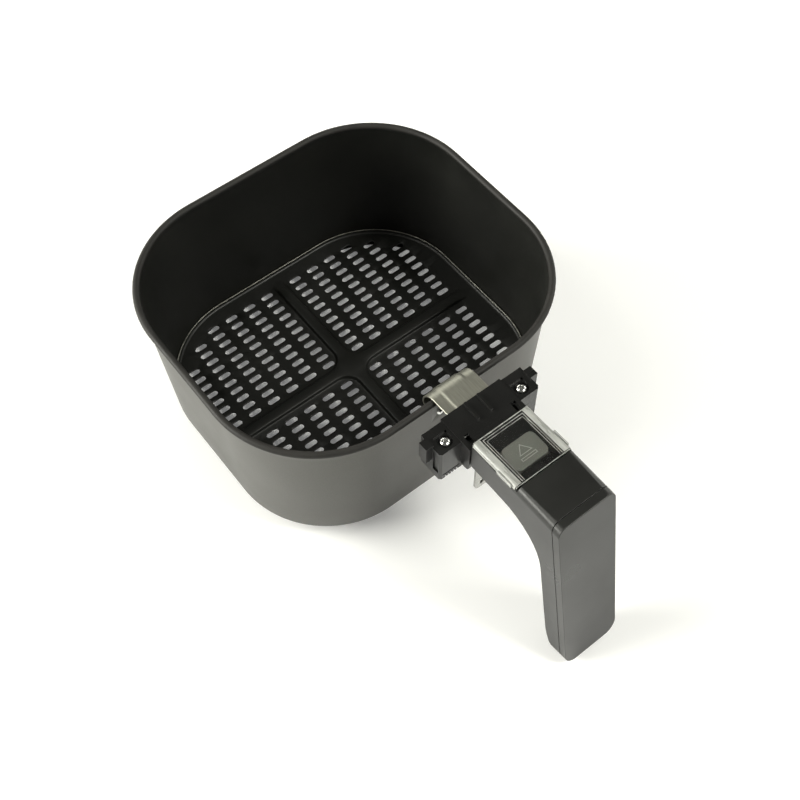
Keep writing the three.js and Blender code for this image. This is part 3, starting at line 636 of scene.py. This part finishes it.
def cross_contour(offset, reach, steps=8):
    """One line at a given distance from the cross's middle lines, in each quarter."""
    knee = CROSS_CORNER + CROSS_FOOT
    bend = arc((knee, knee), knee - offset, 270, 180, 10)
    far_x, far_y = reach
    along_x = [(far_x + (knee - far_x) * k / steps, offset) for k in range(steps)]
    along_y = [(offset, knee + (far_y - knee) * k / steps) for k in range(1, steps + 1)]
    line = along_x + bend + along_y
    return [[(sx * x, sy * y) for x, y in line] for sx in (1, -1) for sy in (1, -1)]


def slot_centres():
    centres = []
    for column, rows in enumerate(SLOT_ROWS):
        for row in range(rows):
            x = SLOT_FIRST[0] + column * SLOT_PITCH[0]
            y = SLOT_FIRST[1] + row * SLOT_PITCH[1]
            centres += [(sx * x, sy * y) for sx in (1, -1) for sy in (1, -1)]
    return centres


def slot_ring(centre, grow, steps=6):
    radius = SLOT_WIDTH / 2 + grow
    shoulder = SLOT_LENGTH / 2 - SLOT_WIDTH / 2
    right = arc((centre[0] + shoulder, centre[1]), radius, -90, 90, steps)
    left = arc((centre[0] - shoulder, centre[1]), radius, 90, 270, steps)
    return right + left


def in_slot(x, y, centre):
    shoulder = SLOT_LENGTH / 2 - SLOT_WIDTH / 2
    beyond = max(0, abs(x - centre[0]) - shoulder)
    return math.hypot(beyond, y - centre[1]) < SLOT_WIDTH / 2


NEAR_SLOT = (5, 2)  # no triangle in a slot has its middle further from the slot's centre


def floor_faces(loops, lines, centres):
    """Triangles between the floor's edge, the slots and the cross's contours."""
    points, edges = [], []
    for run, closed in [(loop, True) for loop in loops] + [(line, False) for line in lines]:
        first = len(points)
        points += [Vector(p) for p in run]
        edges += [(first + k, first + k + 1) for k in range(len(run) - 1)]
        if closed:
            edges.append((len(points) - 1, first))
    flat, _, triangles, *_ = delaunay_2d_cdt(points, edges, [], 1, 1e-5)
    kept = []
    for face in triangles:
        middle = sum((flat[k] for k in face), Vector((0, 0))) / 3
        near = [
            c for c in centres
            if abs(c[0] - middle.x) < NEAR_SLOT[0] and abs(c[1] - middle.y) < NEAR_SLOT[1]
        ]
        if not any(in_slot(middle.x, middle.y, c) for c in near):
            kept.append(face)
    return flat, kept


FLOOR_GAP = 0.3
CONTOUR_SHARES = (0, 0.2, 0.4, 0.6, 0.8, 1)
SLOT_LIP = 0.45
SLOT_EDGE = (  # growth and height of the rounded edge of a slot, from the top down
    (SLOT_LIP, 0), (0.2, -0.08), (0.05, -0.25), (0, -0.45), (0, -SHEET + 0.15), (SLOT_LIP, -SHEET),
)
BEND_STEPS, LIP_STEPS = 8, 4


def floor_edge(bend, edge):
    """The section of the edge turned up at the wall: inside of the bend, lip, outside."""
    lip = (edge - SHEET / 2, bend[1])
    section = arc(bend, FLOOR_BEND - SHEET, -90, 0, BEND_STEPS)
    section += arc(lip, SHEET / 2, 150, 30, LIP_STEPS)
    return section + arc(bend, FLOOR_BEND, 0, -90, BEND_STEPS)


def add_slot_edges(made, centres):
    for centre in centres:
        rings = [
            [(x, y, FLOOR_TOP + drop) for x, y in slot_ring(centre, grow)]
            for grow, drop in SLOT_EDGE
        ]
        points = [made.verts.new(p) for ring in rings for p in ring]
        for face in bridge(rings):
            made.faces.new([points[k] for k in face])


def add_basket_floor():
    """The pressed floor: its sheet, rounded slot edges and the edge turned up at the wall."""
    edge = -SHEET - FLOOR_GAP
    bend = (edge - FLOOR_BEND, FLOOR_TOP - SHEET + FLOOR_BEND)
    border = [p[:2] for p in wall_ring(FLOOR_TOP, bend[0])]
    centres = slot_centres()
    loops = [border] + [slot_ring(c, SLOT_LIP) for c in centres]
    lines = []
    for share in CONTOUR_SHARES:
        offset = CROSS_CREST + (CROSS_FOOT - CROSS_CREST) * share
        lines += cross_contour(offset, (CROSS_REACH[0] + 1, CROSS_REACH[1] + 1))
    flat, faces = floor_faces(loops, lines, centres)
    made = bmesh.new()
    tops = [made.verts.new((p.x, p.y, floor_height(p.x, p.y))) for p in flat]
    lows = [made.verts.new((p.x, p.y, floor_height(p.x, p.y) - SHEET)) for p in flat]
    for face in faces:
        made.faces.new([tops[k] for k in face])
        made.faces.new([lows[k] for k in reversed(face)])
    add_slot_edges(made, centres)
    section = floor_edge(bend, edge)
    rings = [[(x, y, z) for x, y, _ in wall_ring(FLOOR_TOP, grow)] for grow, z in section]
    points = [made.verts.new(p) for ring in rings for p in ring]
    # The lip's faces take the brighter finish: a painted highlight along the floor's turned-up
    # edge.
    first_highlit = BEND_STEPS + 1
    highlit_faces = range(first_highlit * len(rings[0]), (first_highlit + LIP_STEPS) * len(rings[0]))
    for number, face in enumerate(bridge(rings)):
        quad = made.faces.new([points[k] for k in face])
        quad.material_index = 1 if number in highlit_faces else 0
    bmesh.ops.remove_doubles(made, verts=made.verts, dist=WELD)
    finishes = [FINISH["nonstick_black"], FINISH["painted_lip_highlight"]]
    piece = add_mesh("basket_tray", made, finishes, 45)
    settle(piece, "basket", "nonstick_black", "basket_floor")


# ---- Strap --------------------------------------------------------------------------------

STRAP_CORNERS = (  # y, z and radius
    (-125.2, 110.3, 0), (-93.8, 109.0, 11), (-93.8, 96.0, 3), (-98.5, 91.0, 3), (-98.5, 82, 0),
)
STRAP_STEP = 0.6
BEAD_SHOULDER = 2.2


def strap_path():
    """The top of the strap from the handle base over the rim and down the inside."""
    return [Vector(p) for p in rounded(STRAP_CORNERS, 14)]


def strap_rise(x):
    """How far the middle of the strap is pressed up."""
    return STRAP_BEAD * smooth_step((STRAP_BEAD_HALF + BEAD_SHOULDER / 2 - abs(x)) / BEAD_SHOULDER)


def add_rim_strap():
    path = strap_path()
    count = int(2 * STRAP_HALF / STRAP_STEP)
    xs = [-STRAP_HALF + STRAP_STEP * k for k in range(count + 1)]
    rows = []
    for k, point in enumerate(path):
        ahead = path[min(k + 1, len(path) - 1)] - path[max(k - 1, 0)]
        out = Vector((-ahead.y, ahead.x)).normalized()
        top = [point + out * strap_rise(x) for x in xs]
        low = [p - out * STRAP_THICK for p in top]
        ring = [(x, p.x, p.y) for x, p in zip(xs, top)]
        ring += [(x, p.x, p.y) for x, p in zip(reversed(xs), reversed(low))]
        rows.append(ring)
    made = bmesh_of([p for row in rows for p in row], bridge(rows))
    made.verts.ensure_lookup_table()
    width = len(xs)
    for first in (0, len(made.verts) - 2 * width):
        for k in range(width - 1):
            low = first + 2 * width - 1 - k
            corners = (first + k, first + k + 1, low - 1, low)
            made.faces.new([made.verts[c] for c in corners])
    piece = add_mesh("strap_over_rim", made, [FINISH["strap_steel"]])
    soften(piece, 0.25, 2, 60)
    settle(piece, "basket", "satin_steel", "rim_strap")


SIDES = ((-1, "left"), (1, "right"))
RIVET_SEAT = -101.35
RIVET_PROFILE = (  # radius and depth: head, shank and the end set over inside the wall
    (0, -1.25), (0.9, -1.2), (1.7, -0.95), (2.25, -0.45), (2.4, 0), (1.8, 0.02),
    (1.8, 3.6), (2.3, 3.62), (2.3, 4.1), (1.6, 4.7), (0, 4.9),
)


def add_rivets():
    for side, name in SIDES:
        made = lathe(RIVET_PROFILE, 32)
        pose = aim((side * RIVET_X, RIVET_SEAT, RIVET_Z), (0, 1, 0))
        bmesh.ops.transform(made, matrix=pose, verts=made.verts)
        add_hardware(f"rivet_{name}", made, f"strap_rivet_{name}")


# ---- Screws -------------------------------------------------------------------------------

SCREW_HEAD = [  # radius and height
    (0, 2.45), (0.9, 2.4), (1.8, 2.2), (2.55, 1.8), (3.05, 1.2), (3.25, 0.6), (3.2, 0.1), (3.05, 0),
]
SHANK_RADIUS, SHANK_TAPER, SHANK_POINT = 1.5, 1.4, 0.4
RECESS_OUTLINE = ((-1.0, 0.9), (1.0, 0.9), (1.95, 2.9), (-1.95, 2.9))
RECESS_HALF = 0.36
WING_SCREW, LUG_SCREW, GRIP_SCREW = 11, 5, 7  # shank lengths
GRIP_SCREW_SINK = 1.7
SCREW_TWIST = {"left": 20, "right": 35, "grip": 10}


def screw_shape(length):
    """A pan-head screw along Z, its head above 0."""
    shank = [
        (SHANK_RADIUS, 0), (SHANK_RADIUS, -length + SHANK_TAPER), (SHANK_POINT, -length),
        (0, -length),
    ]
    return lathe(SCREW_HEAD + shank, 48)


def recess_wedge(turn):
    """One of the two crossed wedges that cut the recess in a screw's head."""
    wedge = prism(RECESS_OUTLINE, -RECESS_HALF, RECESS_HALF, XZY)
    bmesh.ops.rotate(wedge, matrix=Matrix.Rotation(turn, 3, "Z"), verts=wedge.verts)
    return wedge


def add_screw(name, node, at, axis, length, twist):
    pose = aim(at, axis) @ Matrix.Rotation(math.radians(twist), 4, "Z")
    shape = screw_shape(length)
    bmesh.ops.transform(shape, matrix=pose, verts=shape.verts)
    piece = add_mesh(name, shape, [FINISH["bright_steel"]])
    wedges = [recess_wedge(turn) for turn in (0, math.pi / 2)]
    for wedge in wedges:
        bmesh.ops.transform(wedge, matrix=pose, verts=wedge.verts)
    cut(piece, wedges)
    soften(piece, 0.08, 2, 40)
    settle(piece, "basket", "bright_steel", node)


def add_screws():
    kinds = (
        ("wing_screw", "base_screw", BASE_SCREW, (0, 0, 1), WING_SCREW),
        ("lug_screw", "arm_screw", ARM_SCREW, (0, 0, -1), LUG_SCREW),
    )
    for side, name in SIDES:
        for piece, node, (x, y, z), axis, length in kinds:
            at, twist = (side * x, y, z), SCREW_TWIST[name]
            add_screw(f"{piece}_{name}", f"{node}_{name}", at, axis, length, twist)
    for along, name in zip(CAP_SCREWS, ("upper", "lower")):
        at, twist = grip_point(0, along, GRIP_THICK - GRIP_SCREW_SINK), SCREW_TWIST["grip"]
        add_screw(f"grip_screw_{name}", f"cap_screw_{name}", at, INTO_GRIP, GRIP_SCREW, twist)


# ---- Handle -------------------------------------------------------------------------------

def add_copies():
    """Moulded and pressed parts whose shape is already right: their edges get their radii."""
    parts = (
        ("handle_base", "base_housing", "matte_black", "basket", "matte_black", 0.55),
        ("handle_body", "arm_and_grip", "gloss_black", "basket", "gloss_black", 0.5),
        ("grip_cap", "grip_front", "gloss_black", "basket", "gloss_black", 0.8),
        ("button_tray", "release_tray", "matte_black", "basket", "matte_black", 0.2),
        ("release_button", "release_key", "button_grey", "button", "button_grey", 0.4),
        ("slide_cover", "clear_guard", "clear_plastic", "guard", "clear_plastic", 0.25),
        ("latch_lever", "latch_tongue", "latch_steel", "latch", "satin_steel", 0.25),
    )
    for node, name, finish, body, slot, width in parts:
        piece = copy_of(node, name, FINISH[finish])
        soften(piece, width)
        settle(piece, body, slot, node)


ACROSS = Vector((1, 0, 0))
RAIL_EDGE = [(14.9, -0.3), (14.9, 0.1), (15.15, 0.3), (17.3, 0.3)]  # across and out of the cover
RAIL_SIDE = [(19.75, -2.35), (19.4, -2.35), (19.0, -0.6)]
RAIL_BEND, RAIL_BEND_RADIUS = (17.35, -2.1), 2.4
RAIL_START, RAIL_STOP = 0.5, 0.9  # how far the rails stay off the cover's two ends
PAD_PLAN = ((0, -1.5, 0.7), (11.5, -1.5, 0.7), (11.5, 1.2, 0.7), (0, 1.2, 0.7))
PAD_THICK = 0.9
PAD_AT = (19.55, 20.5, -1.35)
WINDOW_LINES = ((14.0, 1.8, 0.3), (12.6, 3.5, 0.2))  # half width, start and line width
WINDOW_STOP = 1.2
RIDGE_LOW, RIDGE_HIGH = -0.05, 0.28
LIP_OUTLINE = ((-19.0, -0.9), (19.0, -0.9), (19.0, 0.12), (-19.0, 0.12))
FRONT_LIP, FAR_LIP = (-0.12, 0.4), (0.75, 1.15)


def cover_frame():
    """The cover's own axes: x across, v back up its slope, w out of it, from its near top edge."""
    near, far = (Vector((0, *p)) for p in (COVER_NEAR, COVER_FAR))
    back = (far - near).normalized()
    out = back.cross(ACROSS).normalized()
    return near, back, out, (far - near).length


def on_cover(made):
    """Moves a bmesh drawn as (x, along, out) onto the cover."""
    near, back, out, _ = cover_frame()
    pose = Matrix((ACROSS, back, out)).transposed().to_4x4()
    pose.translation = near
    bmesh.ops.transform(made, matrix=pose, verts=made.verts)
    return made


def add_trim(name, made, edge):
    """One frosted piece of the cover, drawn on the cover's own axes."""
    piece = add_mesh(name, on_cover(made), [FINISH["milky_plastic"]])
    soften(piece, edge)
    settle(piece, "guard", "clear_plastic")


def add_cover_trim():
    """The frosted rails along both sides and the pads for finger and thumb."""
    length = cover_frame()[3]
    bend = arc(RAIL_BEND, RAIL_BEND_RADIUS, 85, 0, 6)
    for side, name in SIDES:
        outline = [(side * x, h) for x, h in RAIL_EDGE + bend + RAIL_SIDE]
        rail = prism(outline, RAIL_START, length - RAIL_STOP, XZY)
        add_trim(f"guard_rail_{name}", rail, 0.12)
        pad = prism(rounded(PAD_PLAN, 5), 0, PAD_THICK, YZX)
        across, along, out = PAD_AT
        shift = Vector((side * across - (PAD_THICK if side < 0 else 0), along, out))
        bmesh.ops.translate(pad, vec=shift, verts=pad.verts)
        add_trim(f"guard_pad_{name}", pad, 0.2)


def add_cover_frames():
    """Two raised lines that frame the window on three sides, and the cover's two end lips."""
    end = cover_frame()[3] - WINDOW_STOP
    for number, (half, start, width) in enumerate(WINDOW_LINES):
        outline = [(-half, end), (-half, start), (half, start), (half, end)]
        outline += [(half - width, end), (half - width, start + width)]
        outline += [(width - half, start + width), (width - half, end)]
        ridge = prism(outline, RIDGE_LOW, RIDGE_HIGH, XYZ)
        add_trim(f"guard_frame_{number + 1}", ridge, 0.07)
    for name, base, (low, high) in (("front", 0, FRONT_LIP), ("far", end, FAR_LIP)):
        lip = prism(LIP_OUTLINE, base + low, base + high, XZY)
        add_trim(f"guard_{name}_lip", lip, 0.12)


SIGN_LINE = 0.42
SIGN_SINK, SIGN_HEIGHT = 0.1, 0.25
# Both outlines in x and y from the middle of the button.
TRIANGLE = ((-4.4, -1.2), (4.4, -1.2), (0, 5.0))
BAR = ((-5.2, -4.6), (5.2, -4.6), (5.2, -2.7), (-5.2, -2.7))


def inset(points, width):
    """The same outline, drawn a line's width further in."""
    middle = sum((Vector(p) for p in points), Vector((0, 0))) / len(points)
    inner = []
    for k, p in enumerate(points):
        corner = Vector(p)
        back = (Vector(points[k - 1]) - corner).normalized()
        on = (Vector(points[(k + 1) % len(points)]) - corner).normalized()
        half = back.angle(on) / 2
        inward = (back + on).normalized()
        if inward.dot(middle - corner) < 0:
            inward = -inward
        inner.append(tuple(corner + inward * width / math.sin(half)))
    return inner


def outline_ring(points, width):
    """A raised line that runs round an outline on top of the button."""
    inner = inset(points, width)
    low, high = BUTTON_TOP - SIGN_SINK, BUTTON_TOP + SIGN_HEIGHT
    sides = ((points, low), (points, high), (inner, high), (inner, low))
    rings = [[(x, y, z) for x, y in outline] for outline, z in sides]
    return bmesh_of([p for ring in rings for p in ring], bridge(rings, closed_section=True))


def add_button_sign():
    """A generic release sign on the button: a triangle over a bar, in raised outline."""
    for name, shape in (("triangle", TRIANGLE), ("bar", BAR)):
        points = [(x, BUTTON_Y + y) for x, y in shape]
        piece = add_mesh(f"key_sign_{name}", outline_ring(points, SIGN_LINE), [FINISH["sign_grey"]])
        soften(piece, 0.1)
        settle(piece, "button", "button_grey")


# ---- Springs and pin ----------------------------------------------------------------------

def coil(radius, wire, turns, start, axis, length, sides=10, per_turn=36):
    """A coil of round wire along an axis, with flat closed ends."""
    pose = aim(start, axis)
    steps = int(turns * per_turn)
    rings = []
    for k in range(steps + 1):
        t = 2 * math.pi * turns * k / steps
        centre = Vector((radius * math.cos(t), radius * math.sin(t), length * k / steps))
        out = Vector((math.cos(t), math.sin(t), 0))
        ring = []
        for side in range(sides):
            a = 2 * math.pi * side / sides
            ring.append(pose @ (centre + wire * (out * math.cos(a) + Vector((0, 0, math.sin(a))))))
        rings.append(ring)
    made = bmesh_of([p for ring in rings for p in ring], bridge(rings))
    made.verts.ensure_lookup_table()
    last = len(made.verts) - sides
    made.faces.new([made.verts[k] for k in range(sides)])
    made.faces.new([made.verts[last + k] for k in reversed(range(sides))])
    return made


KEY_SPRING_LOW, KEY_SPRING_HIGH = 105.6, 111.2
KEY_COIL = (3.6, 0.35, 4)  # radius, wire radius and turns
TONGUE_COIL = (2.4, 0.3, 3)
TONGUE_SPRING_X, TONGUE_SPRING_LENGTH = 13.8, 2.6
PIN_PROFILE = ((0, -19.5), (1.2, -19.5), (1.5, -19.2), (1.5, 19.2), (1.2, 19.5), (0, 19.5))


def add_hardware(name, made, node):
    piece = add_mesh(name, made, [FINISH["bright_steel"]])
    settle(piece, "basket", "bright_steel", node)
    return piece


def add_springs():
    """The button's spring, which shortens as it is pressed, and the tongue's spring and pin."""
    height = KEY_SPRING_HIGH - KEY_SPRING_LOW
    start = (0, BUTTON_Y, KEY_SPRING_LOW)
    piece = add_hardware("key_spring", coil(*KEY_COIL, start, (0, 0, 1), height), "button_spring")
    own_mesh(piece)
    spring = coil(*TONGUE_COIL, (TONGUE_SPRING_X, *PIVOT), ACROSS, TONGUE_SPRING_LENGTH)
    add_hardware("tongue_spring", spring, "latch_spring")
    pin = lathe(PIN_PROFILE, 32)
    bmesh.ops.transform(pin, matrix=aim((0, *PIVOT), ACROSS), verts=pin.verts)
    add_hardware("tongue_pin", pin, "latch_pin")


# ---- Stage --------------------------------------------------------------------------------

BACKDROP = (  # radius and height of each ring of the sweep, in metres
    (1.7, 0.002), (2.5, 0.03), (3.3, 0.25), (4.0, 0.9), (4.4, 2.0), (4.6, 4.0),
)


TABLE_REACH, TABLE_GLOW = 5, 0.15
SWEEP_SIDES = 64


def add_floor():
    """A plain pale light table under the lowest point."""
    reach = TABLE_REACH
    mesh = bpy.data.meshes.new("floor")
    corners = [(-reach, -reach, 0), (reach, -reach, 0), (reach, reach, 0), (-reach, reach, 0)]
    mesh.from_pydata(corners, [], [(0, 1, 2, 3)])
    made, tree, shader = new_material("floor_paint", 0.7, 0.0, 0.2)
    shader.inputs["Emission Color"].default_value = (1, 1, 1, 1)
    shader.inputs["Emission Strength"].default_value = TABLE_GLOW
    tone = tint(tree, noise(tree, 3, 2), (0.9, 0.9, 0.9), (0.92, 0.92, 0.92))
    tree.links.new(tone, shader.inputs["Base Color"])
    mesh.materials.append(made)
    linked("floor", mesh)


def add_backdrop():
    """A pale sweep round the table. Only the camera sees it, so it adds no light."""
    turns = [2 * math.pi * k / SWEEP_SIDES for k in range(SWEEP_SIDES)]
    rings = []
    for radius, height in BACKDROP:
        rings.append([Vector((radius * math.cos(t), radius * math.sin(t), height)) for t in turns])
    mesh = bpy.data.meshes.new("backdrop")
    mesh.from_pydata([p for ring in rings for p in ring], [], bridge(rings))
    made, _, shader = new_material("backdrop_paint", 1.0, 0.0, 0.0)
    shader.inputs["Base Color"].default_value = (0, 0, 0, 1)
    shader.inputs["Emission Color"].default_value = (1, 1, 0.97, 1)
    shader.inputs["Emission Strength"].default_value = 1.0
    mesh.materials.append(made)
    backdrop = linked("backdrop", mesh)
    for ray in ("diffuse", "glossy", "transmission", "shadow"):
        setattr(backdrop, f"visible_{ray}", False)


add_camera()
add_studio()
add_floor()
add_backdrop()
add_basket_body()
add_basket_floor()
add_rim_strap()
add_rivets()
add_screws()
add_copies()
add_cover_trim()
add_cover_frames()
add_button_sign()
add_springs()
